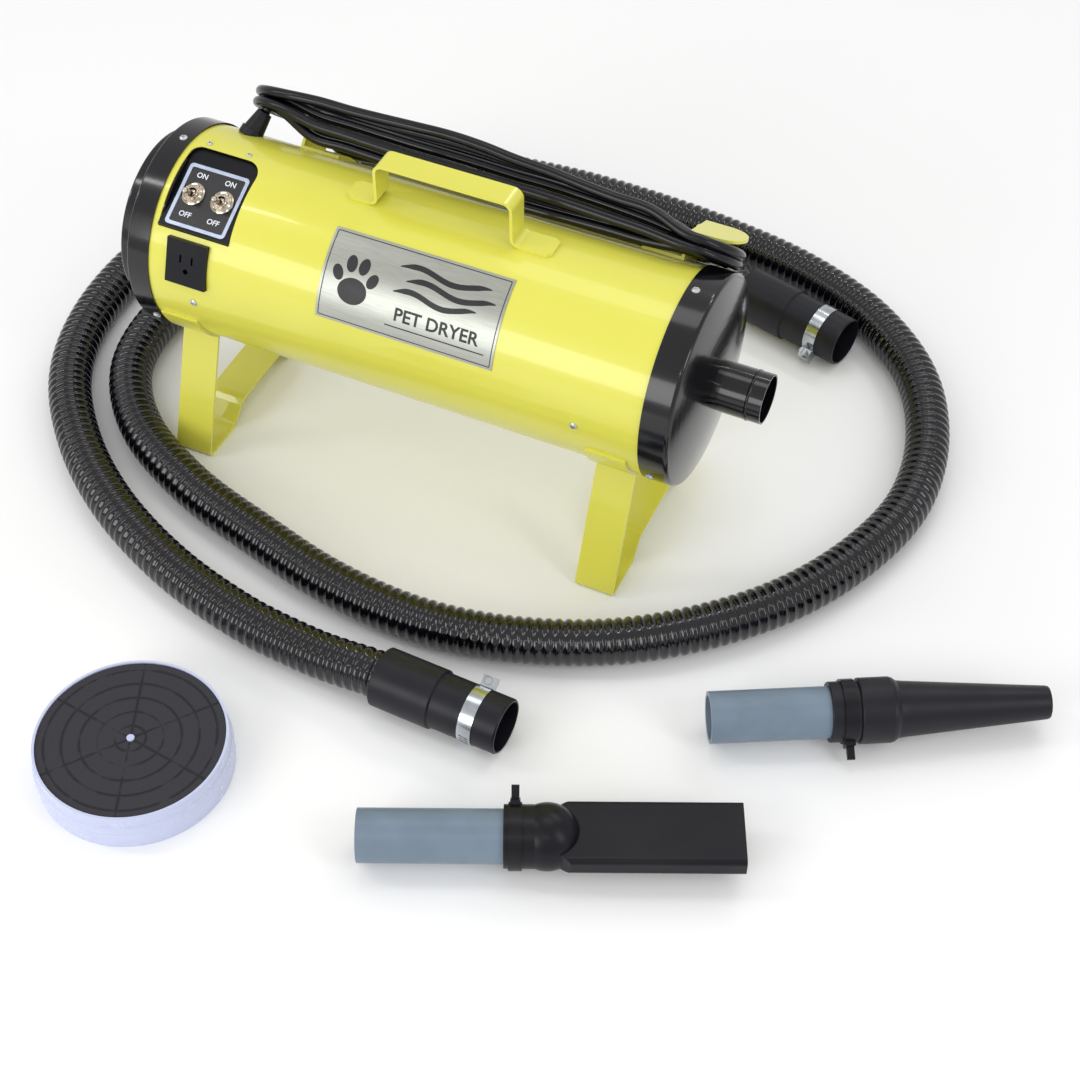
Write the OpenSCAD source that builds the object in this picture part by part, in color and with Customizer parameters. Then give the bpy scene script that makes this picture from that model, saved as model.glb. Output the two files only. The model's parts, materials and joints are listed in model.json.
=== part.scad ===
// Two-motor pet dryer: steel drum on strap legs, wound mains cord, hose with rubber cuffs,
// two nozzles and a push-on intake filter.
// Millimetres. +X runs along the drum towards the outlet, -Y is the front, +Z is up.
// The origin is the centre of the outlet spout's mouth, where the hose goes on.

/* [Drum] */
// Outer radius of the drum
drum_r = 101.6; // [95:0.1:110]
// Length of drum left bare between the two end caps
bare_len = 516; // [500:1:530]
// Thickness of the drum's sheet
sheet = 1.2; // [0.8:0.1:2]
// Height of the drum's axis above the floor
axis_h = 213; // [205:1:225]

/* [End caps] */
// Outer radius of the bands that wrap the drum
band_r = 103.4; // [102.9:0.1:104.5]
// Width of each band
band_w = 23; // [20:1:26]
// Radius of the round boss that the filter pushes onto
boss_r = 88.7; // [84:0.1:92]
// Length of that boss
boss_len = 17; // [12:1:22]
// Radius of the sphere that domes the outlet end
dome_r = 464; // [400:10:600]

/* [Outlet] */
// Outer radius of the spout, nozzle pipes and other 1.5 inch fittings
pipe_r = 24.13; // [22:0.01:26]
// Spout's mouth, from the drum's middle
mouth_x = 345.4; // [335:0.1:360]

/* [Straps] */
// Thickness of the strap steel in the handle, legs and cord hooks
strap_t = 3; // [2:0.5:4]
// Width of the handle strap
handle_w = 25.4; // [20:0.1:32]
// Height of the handle's top face above the drum's axis
handle_top = 150; // [142:1:160]
// Width of each leg strap
leg_w = 40.5; // [36:0.5:46]

/* [Switch panel] */
// Middle of the panel along the drum
panel_x = -213; // [-216:1:-210]
// Width of the opening in the drum
window_w = 78; // [76:1:80]
// Distance between the two toggles
toggle_gap = 32; // [28:1:36]
// Angle of a toggle from straight out, at OFF
toggle_tilt = 16; // [12:1:17]

/* [Motors] */
// Where each motor's fan case starts along the drum
motor_x = [-170, 40];
// Radius of the fan case
fan_r = 70; // [60:1:75]
// Radius of the motor shaft
shaft_r = 4; // [3:0.5:5]

/* [Hose] */
// Outer radius of the hose
hose_r = 23; // [20:0.5:24]
// Radius of a cuff where the hose goes in
cuff_big_r = 29; // [28:0.5:31]
// Radius of a cuff where it grips a pipe
cuff_small_r = 27; // [26:0.5:28]

/* [Mains cord] */
// Diameter of the cord
cord_d = 10.5; // [9:0.1:11]
// Angle round the drum at which the cord hooks stand, 0 at the front and 90 on top
hook_ang = 135; // [130:1:140]

/* [Filter] */
// Outer radius of the filter cup
cup_r = 90.5; // [90:0.1:93]
// Height of the filter cup
cup_h = 40; // [36:1:44]

/* [Hidden] */
$fn = 96;
yellow = "#e2de5f";
black = "#1b1b1e";
grey_pipe = "#8292a0";
steel = "#b9bcc0";
half = bare_len / 2;
drum_in = drum_r - sheet;
cap_x = half + band_w;
floor_z = -axis_h;
eps = 0.01;

// Route of the hose on the floor, from cuff A round behind the drum and back to cuff B.
// x and y from the drum's middle, z above the floor.
cuff_a_at = [214, 338, 29.2];
cuff_a_turn = -15;
cuff_b_at = [96, -313, 29.2];
cuff_b_turn = -2;
hose_z = 23.2;
hose_route = [
    [214, 338, 29.2], [195, 343, 28.6], [165, 350, 25.5], [110, 356, hose_z], [40, 356, hose_z],
    [-50, 343, hose_z], [-140, 309, hose_z], [-220, 258, hose_z], [-290, 192, hose_z],
    [-338, 115, hose_z], [-360, 38, hose_z], [-346, -50, hose_z], [-288, -122, hose_z],
    [-198, -172, hose_z], [-100, -203, hose_z], [-5, -227, hose_z], [90, -234, hose_z],
    [180, -219, hose_z], [270, -182, hose_z], [345, -127, hose_z], [408, -57, hose_z],
    [452, 25, hose_z], [474, 112, hose_z], [464, 205, hose_z], [424, 292, hose_z],
    [352, 360, hose_z], [262, 402, hose_z], [165, 423, hose_z], [60, 433, hose_z],
    [-50, 433, hose_z], [-160, 416, hose_z], [-262, 376, hose_z], [-348, 308, hose_z],
    [-406, 218, hose_z], [-433, 115, hose_z], [-432, 10, hose_z], [-401, -85, hose_z],
    [-337, -165, hose_z], [-255, -228, hose_z], [-160, -274, hose_z], [-65, -301, hose_z],
    [10, -310, hose_z], [50, -312, 25.5], [78, -312.5, 28.6], [96, -313, 29.2]
];

// The cord's two loose ends, in the hook frame: x from the drum's middle, y round the drum
// from the hook's line, z out from the drum's axis.
relief_at = [-222, -24.8];
relief_len = 21;
relief_lean = 18;
lead_route = [
    [-215.5, -24.8, 122], [-213.5, -24.6, 128.5], [-208, -24.2, 136.5], [-199, -23.8, 142],
    [-188, -24, 144], [-174, -27, 143], [-160, -31, 140.5], [-148, -34.5, 138]
];
tail_route = [
    [170, 46.5, 112], [150, 49, 110.5], [125, 55, 106.5], [100, 61.5, 101.5], [75, 66, 98],
    [50, 67.5, 97], [28, 67.5, 97]
];

// ---- Placing --------------------------------------------------------------------------

// Children drawn about the drum's middle, on its axis
module drum_frame() { translate([-mouth_x, 0, 0]) children(); }

// Children drawn with Z along the drum
module along_x(x) { translate([x, 0, 0]) rotate([0, 90, 0]) children(); }

// Children drawn with Z pointing out of the drum at an angle round it
module at_angle(x, ang) { translate([x, 0, 0]) rotate([90 - ang, 0, 0]) children(); }

// Children drawn on the switch panel: Y up its slope, Z out of its face
panel_tilt = 27;
panel_out = 94.6;
module on_panel() {
    translate([panel_x, 0, 0]) rotate([panel_tilt, 0, 0]) translate([0, 0, panel_out]) children();
}

// Children drawn with Z along a thing lying on the floor, Y staying level
module lying(at, turn) {
    drum_frame() translate([at[0], at[1], floor_z + at[2]])
        rotate([0, 0, turn]) rotate([0, 90, 0]) children();
}

// A round part from points [radius, distance along the drum]
module turned(points) { rotate([0, 90, 0]) rotate_extrude($fn = 144) polygon(points); }

// A profile drawn in Y and Z, as wide as w along X from x
module wide(x, w) { translate([x, 0, 0]) rotate([90, 0, 90]) linear_extrude(w) children(); }

module tube(r_out, r_in, h) {
    difference() {
        cylinder(r = r_out, h = h);
        translate([0, 0, -1]) cylinder(r = r_in, h = h + 2);
    }
}

module box(low, high) { translate(low) cube(high - low); }

// ---- Outlines -------------------------------------------------------------------------

function arc(c, r, a0, a1, n = 8) =
    [for (i = [0:n]) let (a = a0 + (a1 - a0) * i / n) c + r * [cos(a), sin(a)]];
function unit(v) = v / norm(v);
function left_of(v) = [-v[1], v[0]];

// The path moved sideways by t, to its left, with mitred corners
function beside(path, t) = [
    for (i = [0:len(path) - 1])
        let (
            a = unit(path[max(i, 1)] - path[max(i, 1) - 1]),
            b = unit(path[min(i + 1, len(path) - 1)] - path[min(i, len(path) - 2)]),
            m = left_of(unit(a + b))
        )
        path[i] + m * t / (m * left_of(a))
];
function reversed(list) = [for (i = [len(list) - 1:-1:0]) list[i]];

// A strap of thickness t along a path
module strap(path, t) { polygon(concat(path, reversed(beside(path, t)))); }

// A sector from well inside the drum to well past it
module wedge(a0, a1) {
    inside = 60;
    polygon(concat(arc([0, 0], inside, a1, a0, 1), arc([0, 0], 200, a0, a1)));
}

module rounded_box_2d(w, h, r) {
    square([w - 2 * r, h], center = true);
    square([w, h - 2 * r], center = true);
    for (x = [-1, 1], y = [-1, 1])
        translate([x * (w / 2 - r), y * (h / 2 - r)]) circle(r, $fn = 32);
}

// ---- Swept tubes ----------------------------------------------------------------------

function along(route, i) =
    unit(route[min(i + 1, len(route) - 1)] - route[max(i - 1, 0)]);

// One closed tube of a given radius along a route, with rings square to it
module swept(route, r, sides) {
    n = len(route);
    rings = [
        for (i = [0:n - 1])
            let (
                t = along(route, i),
                s = unit(cross(t, [0, 0, 1])),
                v = cross(s, t)
            )
            for (k = [0:sides - 1])
                let (a = 360 * (k + 0.5) / sides)
                route[i] + r * (cos(a) * s + sin(a) * v)
    ];
    skin = [
        for (i = [0:n - 2], k = [0:sides - 1])
            let (k2 = (k + 1) % sides)
            [i * sides + k, i * sides + k2, (i + 1) * sides + k2, (i + 1) * sides + k]
    ];
    caps = [
        [for (k = [sides - 1:-1:0]) k],
        [for (k = [0:sides - 1]) (n - 1) * sides + k]
    ];
    polyhedron(rings, concat(skin, caps));
}

// ---- Screws ---------------------------------------------------------------------------

// A cross-head screw standing on a surface at height z
module screw(z, head_r = 3.9, shank_r = 1.9, shank_l = 5) {
    difference() {
        union() {
            translate([0, 0, z]) cylinder(r = head_r, h = 0.9);
            translate([0, 0, z + 0.9]) cylinder(r1 = head_r, r2 = head_r * 0.62, h = 1.2);
            translate([0, 0, z - shank_l]) cylinder(r = shank_r, h = shank_l + eps);
        }
        for (a = [0, 90])
            rotate([0, 0, a + 20]) box([-head_r * 0.6, -0.5, z + 0.9], [head_r * 0.6, 0.5, z + 3]);
    }
}

cap_screw_angles = [90, -30, 210];
cap_screw_x = half + 8.7;
drum_screw_x = [-210, 194];
drum_screw_angles = [-3, 183];
panel_screw_x = [-240, -196];
panel_screw_ang = 92.5;

// ---- Drum and caps --------------------------------------------------------------------

window_low = -44.5;
window_high = 44.5;
window_corner = 20;
receptacle_x = -215;
receptacle_ang = 21.2;

module window_outline() {
    translate([-window_w / 2, window_low]) square([window_w, window_high - window_low - window_corner]);
    translate([-window_w / 2 + window_corner / 2, window_low])
        square([window_w - 1.5 * window_corner, window_high - window_low]);
    translate([window_w / 2 - window_corner, window_high - window_corner]) circle(window_corner);
    translate([-window_w / 2 + window_corner / 2, window_high - window_corner / 2 ])
        circle(window_corner / 2);
    translate([-window_w / 2, window_low])
        square([window_corner, window_high - window_low - window_corner / 2]);
}

module drum_shell() {
    color(yellow) drum_frame() difference() {
        along_x(-cap_x + 5) tube(drum_r, drum_in, 2 * cap_x - 10);
        on_panel() translate([0, 0, -30]) linear_extrude(60) window_outline();
        at_angle(receptacle_x, receptacle_ang) box([-20.5, -21, 90], [20.5, 21, 110]);
        hook_frame() translate([relief_at[0], relief_at[1], drum_r]) rotate([0, relief_lean, 0])
            translate([0, 0, -18]) cylinder(r = 7, h = 30);
        for (x = [-cap_screw_x, cap_screw_x], a = cap_screw_angles)
            at_angle(x, a) cylinder(r = 2, h = 120);
        for (x = drum_screw_x, a = drum_screw_angles)
            at_angle(x, a) cylinder(r = 2, h = 120);
        for (x = panel_screw_x)
            at_angle(x, panel_screw_ang) cylinder(r = 1.6, h = 120);
    }
}

cap_t = 1.5;
boss_face = cap_x + 1 + boss_len;

module left_end_cap() {
    skirt_in = drum_r + 0.3;
    color(black) drum_frame() difference() {
        mirror([1, 0, 0]) turned(concat(
            [[skirt_in, half], [band_r, half]],
            arc([band_r - 2, cap_x - 1], 2, 0, 90, 5),
            [[boss_r, cap_x + 1]],
            arc([boss_r - 2.5, boss_face - 2.5], 2.5, 0, 90, 5),
            [[84, boss_face], [84, boss_face - cap_t], [boss_r - cap_t, boss_face - cap_t]],
            [[boss_r - cap_t, cap_x + 1 - cap_t], [skirt_in, cap_x + 1 - cap_t]]
        ));
        for (a = cap_screw_angles) at_angle(-cap_screw_x, a) cylinder(r = 2, h = 120);
    }
}

// A round plate of slots that lets air in and keeps fingers out
module intake_grille() {
    face = boss_face - cap_t;
    plate_t = 1.5;
    color(black) drum_frame() along_x(-face) difference() {
        cylinder(r = boss_r - cap_t - 0.2, h = plate_t);
        for (ring = [0:3], k = [0:11])
            rotate([0, 0, 30 * k + 15 * (ring % 2)])
                translate([22 + 16 * ring, 0, -1]) cylinder(r = 3.2 + 0.7 * ring, h = 4, $fn = 32);
        translate([0, 0, -1]) cylinder(r = 2.5, h = 4);
    }
}

dome_face = 297.7;
spout_neck = pipe_r - 0.4;
function dome_x(r, t = 0) = dome_face - dome_r + sqrt((dome_r - t) * (dome_r - t) - r * r);

module right_end_cap() {
    skirt_in = drum_r + 0.3;
    rim_r = 99.4;
    color(black) drum_frame() difference() {
        turned(concat(
            [[skirt_in, half], [band_r, half]],
            arc([rim_r, dome_x(rim_r) - 4], 4, 0, 85, 6),
            [for (i = [0:10]) let (r = rim_r - (rim_r - spout_neck - eps) * i / 10) [r, dome_x(r)]],
            [for (i = [0:10])
                let (r = spout_neck + eps + (rim_r - spout_neck - 1) * i / 10) [r, dome_x(r, cap_t)]],
            arc([rim_r - 0.4, dome_x(rim_r) - 4.4], 2.9, 85, 0, 6),
            [[skirt_in, dome_x(rim_r) - 6]]
        ));
        for (a = cap_screw_angles) at_angle(cap_screw_x, a) cylinder(r = 2, h = 120);
    }
}

spout_wall = 1.7;
spout_len = 75.4;
module outlet_spout() {
    root = mouth_x - spout_len;
    grip = 40;
    bore_r = pipe_r - spout_wall;
    color(black) drum_frame() difference() {
        union() {
            along_x(root) cylinder(r = spout_neck, h = spout_len - grip + 1);
            along_x(mouth_x - grip) cylinder(r = pipe_r, h = grip);
            along_x(root) cylinder(r = 36, h = 2);
        }
        along_x(root - 1) cylinder(r = bore_r, h = spout_len + 2);
    }
}

// ---- Handle and legs ------------------------------------------------------------------

module carry_handle() {
    left = -51;
    right = 91.5;
    foot_l = [-82, 130];
    bend = 10;
    foot_bend = 6;
    foot_z = drum_r + strap_t;
    deep = 97;
    path = concat(
        [[foot_l[0], foot_z]],
        arc([left - foot_bend, foot_z + foot_bend], foot_bend, -90, 0, 5),
        arc([left + bend, handle_top - bend], bend, 180, 90),
        arc([right - bend, handle_top - bend], bend, 90, 0),
        arc([right + foot_bend, foot_z + foot_bend], foot_bend, 180, 270, 5),
        [[foot_l[1], foot_z]]
    );
    inner = beside(path, -strap_t);
    under = [for (i = [len(inner) - 2:-1:1]) inner[i]];
    chamfer = 6;
    w = handle_w / 2;
    color(yellow) drum_frame() difference() {
        intersection() {
            translate([0, w, 0]) rotate([90, 0, 0]) linear_extrude(handle_w) polygon(concat(
                [[foot_l[0], deep]], path, [[foot_l[1], deep], [right + foot_bend + 1, deep]],
                under, [[left - foot_bend - 1, deep]]
            ));
            linear_extrude(200) polygon([
                [foot_l[0] - 1, chamfer - w - 1], [foot_l[0] + chamfer, -w - 1],
                [foot_l[1] - chamfer, -w - 1], [foot_l[1] + 1, chamfer - w - 1],
                [foot_l[1] + 1, w - chamfer + 1], [foot_l[1] - chamfer, w + 1],
                [foot_l[0] + chamfer, w + 1], [foot_l[0] - 1, w - chamfer + 1]
            ]);
        }
        along_x(-150) cylinder(r = drum_r, h = 400);
    }
}

leg_x = [-254, 204];
tab_top = -20;
tab_low = -52;
leg_out = 114.3;
leg_lean = 20;

// One leg: a strap that leans out, lies flat as a foot, rises in the middle and comes back up
module leg(x) {
    bend = 5;
    pad_in = 62;
    rise_y = 40;
    rise = 20;
    up = axis_h - 66;
    half_path = concat(
        [[-leg_out + tan(leg_lean) * up, floor_z + up]],
        arc([-leg_out + bend + 2.1, floor_z + bend], bend, 180 - leg_lean, 270, 5),
        [[-pad_in - 4, floor_z], [-pad_in, floor_z + 0.6], [-pad_in + 4, floor_z + 3]],
        [[-rise_y - 5, floor_z + rise - 3.4], [-rise_y, floor_z + rise - 0.8], [-rise_y + 6, floor_z + rise]]
    );
    path = concat(half_path, [for (p = reversed(half_path)) [-p[0], p[1]]]);
    color(yellow) drum_frame() difference() {
        union() {
            wide(x, leg_w) strap(path, strap_t);
            for (a = [[180 - tab_top, 180 - tab_low], [tab_low, tab_top]]) intersection() {
                along_x(x) cylinder(r = drum_r + strap_t, h = leg_w);
                wide(x - 1, leg_w + 2) wedge(a[0], a[1]);
            }
        }
        along_x(x - 5) cylinder(r = drum_r, h = leg_w + 10);
    }
}

module left_leg() { leg(leg_x[0]); }
module right_leg() { leg(leg_x[1]); }

// ---- Cord hooks -----------------------------------------------------------------------

// Children drawn at the hooks: X along the drum, Y round it, Z out from its axis
module hook_frame() { rotate([90 - hook_ang, 0, 0]) children(); }

hook_w = 50;
left_hook_x = -168;
right_hook_x = 232;

module foot_plate(x0, x1) {
    intersection() {
        along_x(x0) tube(drum_r + strap_t, drum_r, x1 - x0);
        box([x0, -hook_w / 2, 60], [x1, hook_w / 2, 120]);
    }
}

module stem(x, top) {
    difference() {
        box([x, -hook_w / 2, 90], [x + strap_t, hook_w / 2, top]);
        along_x(x - 1) cylinder(r = drum_r, h = 10);
    }
}

module left_cord_hook() {
    top = 120;
    reach = 20;
    tongue_w = 15;
    color(yellow) drum_frame() hook_frame() {
        foot_plate(left_hook_x, left_hook_x + 42);
        stem(left_hook_x, top);
        box([left_hook_x - reach, -tongue_w / 2, top - strap_t], [left_hook_x + eps, tongue_w / 2, top]);
    }
}

module right_cord_hook() {
    top = 135;
    tilt = 20;
    reach = 46;
    color(yellow) drum_frame() hook_frame() {
        foot_plate(right_hook_x - 42 + strap_t, right_hook_x + strap_t);
        difference() {
            stem(right_hook_x, top + 12);
            translate([right_hook_x - 1, 0, top - 1]) rotate([tilt, 0, 0]) translate([0, -hook_w, 0])
                cube([strap_t + 2, 2 * hook_w, 30]);
        }
        translate([0, 0, top]) rotate([tilt, 0, 0]) translate([0, 0, -strap_t]) linear_extrude(strap_t) {
            translate([right_hook_x, -hook_w / 2]) square([reach - hook_w / 2 + strap_t, hook_w]);
            translate([right_hook_x + reach - hook_w / 2 + strap_t, 0]) circle(hook_w / 2);
        }
    }
}

// ---- Label, switches, receptacle ------------------------------------------------------

module label_plate() {
    x0 = -74;
    label_w = 184;
    label_t = 0.8;
    color("silver") drum_frame() intersection() {
        along_x(x0) tube(drum_r + label_t, drum_r, label_w);
        wide(x0, label_w) wedge(180 - 65, 180 - 15.5);
    }
}

plate_half = window_w / 2 - 0.5;
plate_low = -44;
plate_high = 26;
plate_t = 2.5;
nut_y = -6;

module switch_panel() {
    cheek = 1.5;
    color(black) drum_frame() difference() {
        union() {
            on_panel() rotate([90, 0, 90]) translate([0, 0, -plate_half]) linear_extrude(2 * plate_half)
                polygon([
                    [plate_low, 0], [plate_high, 0], [plate_high, -1], [50, -8.5], [50, -11],
                    [plate_high, -3.5], [plate_high, -plate_t], [plate_low, -plate_t]
                ]);
            intersection() {
                on_panel() for (x = [-plate_half, plate_half - cheek])
                    box([x, plate_low + 9, -eps], [x + cheek, plate_high, 12]);
                along_x(-300) cylinder(r = drum_in - 0.2, h = 200);
            }
        }
        on_panel() for (x = [-toggle_gap / 2, toggle_gap / 2])
            translate([x, nut_y, -10]) cylinder(r = 6, h = 20);
    }
}

face_t = 0.6;
module switch_faceplate() {
    color("#3a3b40") drum_frame() on_panel() difference() {
        translate([0, -8, 0]) linear_extrude(face_t) rounded_box_2d(66, 66, 4);
        for (x = [-toggle_gap / 2, toggle_gap / 2])
            translate([x, nut_y, -1]) cylinder(r = 6, h = 4);
    }
}

bushing_top = 6;
pivot_z = 2;
lever_room = 4.8;
ball_r = 4.4;

module switch_bodies() {
    color("#2a2a2c") drum_frame() on_panel()
        for (x = [-toggle_gap / 2, toggle_gap / 2]) translate([x, nut_y, 0]) difference() {
            union() {
                translate([0, 0, -plate_t - eps]) cylinder(r = 5.9, h = plate_t + face_t);
                box([-9, -15, -27], [9, 15, -plate_t]);
                for (y = [-9, 0, 9]) box([-3, y - 0.5, -34], [3, y + 0.5, -26]);
            }
            translate([0, 0, -10]) cylinder(r = lever_room, h = 20);
        }
}

module switch_nuts() {
    color("silver") drum_frame() on_panel()
        for (x = [-toggle_gap / 2, toggle_gap / 2]) translate([x, nut_y, 0])
            rotate_extrude() polygon([
                [lever_room, face_t], [11.6, face_t], [12, face_t + 0.6], [11.8, face_t + 1.8],
                [10.4, face_t + 2.6], [9.4, face_t + 1.9], [7.9, face_t + 3.4], [6.1, face_t + 3.4],
                [6.1, bushing_top - 0.5], [5.6, bushing_top], [lever_room, bushing_top]
            ]);
}

lever_len = 20;
module toggle_lever(side) {
    tip_r = 3;
    color("silver") drum_frame() on_panel() translate([side * toggle_gap / 2, nut_y, pivot_z])
        rotate([toggle_tilt, 0, 0]) {
            sphere(ball_r, $fn = 48);
            translate([-ball_r - 0.2, 0, 0]) rotate([0, 90, 0]) cylinder(r = 1.2, h = 2 * ball_r + 0.4);
            translate([0, 0, -8]) cylinder(r = 1.4, h = 8);
            cylinder(r1 = 1.9, r2 = tip_r, h = lever_len - tip_r);
            translate([0, 0, lever_len - tip_r]) sphere(tip_r, $fn = 48);
        }
}
module toggle_lever_1() { toggle_lever(-1); }
module toggle_lever_2() { toggle_lever(1); }

outlet_face = 104.3;
blade_gap = 12.7;
module socket_slots(depth) {
    for (s = [-1, 1])
        box([s * blade_gap / 2 - 1, 0, outlet_face - depth], [s * blade_gap / 2 + 1, 8, outlet_face + 1]);
    translate([0, -8, outlet_face - depth]) cylinder(r = 2.6, h = depth + 1);
}

module receptacle() {
    color(black) drum_frame() at_angle(receptacle_x, receptacle_ang) difference() {
        union() {
            box([-20.3, -20.8, 78], [20.3, 20.8, drum_r]);
            difference() {
                box([-22, -22.5, 90], [22, 22.5, outlet_face]);
                along_x(-30) cylinder(r = drum_r, h = 60);
            }
        }
        socket_slots(19);
    }
}

module receptacle_contacts() {
    color("goldenrod") drum_frame() at_angle(receptacle_x, receptacle_ang) {
        for (s = [-1, 1]) box([s * blade_gap / 2 - 0.9, 1, 70], [s * blade_gap / 2 + 0.9, 7, 78]);
        translate([0, -8, 70]) cylinder(r = 2.4, h = 8);
    }
}

module strain_relief() {
    neck_r = 6.9;
    boot_r = 11;
    color(black) drum_frame() hook_frame() translate([relief_at[0], relief_at[1], 0]) difference() {
        translate([0, 0, drum_r]) rotate([0, relief_lean, 0]) union() {
            translate([0, 0, -14]) cylinder(r = neck_r, h = 14);
            translate([0, 0, -7]) cylinder(r = 12.5, h = 8);
            cylinder(r1 = boot_r, r2 = 7.6, h = relief_len);
        }
        translate([-relief_at[0], -relief_at[1], 0]) difference() {
            along_x(-260) cylinder(r = drum_r, h = 80);
            translate([relief_at[0], relief_at[1], drum_r]) rotate([0, relief_lean, 0])
                translate([0, 0, -14]) cylinder(r = neck_r, h = 24);
        }
    }
}

module cap_screws() {
    color("silver") drum_frame() for (x = [-cap_screw_x, cap_screw_x], a = cap_screw_angles)
        at_angle(x, a) screw(band_r);
}

module drum_screws() {
    color("silver") drum_frame() for (x = drum_screw_x, a = drum_screw_angles)
        at_angle(x, a) screw(drum_r);
}

module panel_screws() {
    color("silver") drum_frame() for (x = panel_screw_x)
        at_angle(x, panel_screw_ang) screw(drum_r, head_r = 2.6, shank_r = 1.5, shank_l = sheet);
}

// ---- Motors ---------------------------------------------------------------------------

fan_len = 48;
bell_r = 45;
bell_len = 80;
stator_r = 42;
core_r = 26;
bearing_r = 11;
hub_r = 14;
bearing_w = 7;

module bulkhead(x0) {
    color(steel) drum_frame() along_x(x0 - 2) difference() {
        tube(drum_in - 0.2, 40, 2);
        for (a = [45:90:315]) rotate([0, 0, a]) translate([80, 0, -1]) cylinder(r = 2.2, h = 4);
    }
}

module fan_case(x0) {
    wall = 1.2;
    color("#c9ccd0") drum_frame() along_x(x0) difference() {
        cylinder(r = fan_r, h = fan_len);
        translate([0, 0, wall]) cylinder(r = fan_r - wall, h = fan_len - 2 * wall);
        translate([0, 0, -1]) cylinder(r = 22, h = 4);
        translate([0, 0, fan_len - 4]) cylinder(r = 10, h = 8);
        for (a = [0:45:315]) rotate([0, 0, a]) translate([56, 0, fan_len - 4]) cylinder(r = 7, h = 8);
    }
}

module impeller(x0) {
    plate_x = 34;
    blades = 9;
    color("#d4d6d8") drum_frame() along_x(x0) difference() {
        union() {
            translate([0, 0, plate_x]) cylinder(r = 64, h = 1.5);
            translate([0, 0, plate_x - 18]) cylinder(r = 9, h = 24);
            translate([0, 0, plate_x - 16]) tube(64, 23, 1.5);
            for (k = [0:blades - 1]) rotate([0, 0, 360 * k / blades])
                translate([26, 0, 0]) rotate([0, 0, 25])
                    box([0, -0.7, plate_x - 15], [33, 0.7, plate_x + 0.5]);
        }
        translate([0, 0, plate_x - 20]) cylinder(r = shaft_r, h = 30);
    }
}

module motor_bracket(x0) {
    color("#a9adb1") drum_frame() along_x(x0 + fan_len) difference() {
        union() {
            tube(bell_r, stator_r, bell_len);
            tube(stator_r + 1, hub_r - 1, 2);
            translate([0, 0, bell_len - 2]) tube(stator_r + 1, hub_r - 1, 2);
            tube(hub_r, bearing_r, bearing_w + 1);
            translate([0, 0, bell_len - bearing_w - 1]) tube(hub_r, bearing_r, bearing_w + 1);
        }
        for (a = [45:90:315]) rotate([0, 0, a]) {
            box([38, -14, 5], [50, 14, 15]);
            box([38, -14, 60], [50, 14, 72]);
            for (z = [-1, bell_len - 3]) translate([28, 0, z]) cylinder(r = 8, h = 4);
        }
        for (a = [90, 270]) rotate([0, 0, a]) box([38, -5.2, 60.3], [50, 5.2, 70.7]);
    }
}

module stator(x0) {
    color("#6b4a34") drum_frame() along_x(x0 + fan_len + 18) difference() {
        cylinder(r = stator_r, h = 40);
        translate([0, 0, -1]) cylinder(r = core_r + 1.5, h = 42);
        for (a = [45:90:315]) rotate([0, 0, a]) translate([core_r + 6, 0, -1]) cylinder(r = 4, h = 42);
    }
}

module armature(x0) {
    color("#8a8d91") drum_frame() along_x(x0) {
        translate([0, 0, 10]) cylinder(r = shaft_r, h = 122);
        difference() {
            translate([0, 0, fan_len + 18]) cylinder(r = core_r, h = 40);
            for (k = [0:11]) rotate([0, 0, 30 * k]) box([core_r - 4, -0.8, 60], [core_r + 1, 0.8, 110]);
        }
        translate([0, 0, 109]) cylinder(r = 13, h = 9);
    }
}

module bearings(x0) {
    color(steel) drum_frame() for (z = [fan_len + 1, fan_len + bell_len - bearing_w - 1])
        along_x(x0 + z) tube(bearing_r, shaft_r + 0.05, bearing_w);
}

module brush_holders(x0) {
    color("#b58a3a") drum_frame() along_x(x0) for (a = [90, 270]) rotate([0, 0, a])
        box([13.4, -4, fan_len + 61.5], [52, 4, fan_len + 69.5]);
}

module bulkhead_1() { bulkhead(motor_x[0]); }
module fan_case_1() { fan_case(motor_x[0]); }
module impeller_1() { impeller(motor_x[0]); }
module motor_bracket_1() { motor_bracket(motor_x[0]); }
module stator_1() { stator(motor_x[0]); }
module armature_1() { armature(motor_x[0]); }
module bearings_1() { bearings(motor_x[0]); }
module brush_holders_1() { brush_holders(motor_x[0]); }
module bulkhead_2() { bulkhead(motor_x[1]); }
module fan_case_2() { fan_case(motor_x[1]); }
module impeller_2() { impeller(motor_x[1]); }
module motor_bracket_2() { motor_bracket(motor_x[1]); }
module stator_2() { stator(motor_x[1]); }
module armature_2() { armature(motor_x[1]); }
module bearings_2() { bearings(motor_x[1]); }
module brush_holders_2() { brush_holders(motor_x[1]); }

// ---- Hose, cuffs and clamps -----------------------------------------------------------

cuff_big_len = 62;
cuff_small_len = 68;
cuff_bore = pipe_r + 0.07;
grip_len = 60;

module hose() {
    color(black) drum_frame() translate([0, 0, floor_z]) swept(hose_route, hose_r, 12);
}

// Z runs from the hose to the open end
module cuff() {
    total = cuff_big_len + cuff_small_len;
    color(black) rotate_extrude() polygon([
        [21, 0], [cuff_big_r - 1, 0], [cuff_big_r, 1], [cuff_big_r, cuff_big_len - 1.5],
        [cuff_small_r, cuff_big_len], [cuff_small_r, total - 1.5], [cuff_small_r - 1.2, total],
        [cuff_bore, total], [cuff_bore, total - grip_len], [21, total - grip_len]
    ]);
}

clamp_w = 14;
clamp_z = cuff_big_len + cuff_small_len - 30 - clamp_w / 2;
screw_out = cuff_small_r + 6.4;

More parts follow.
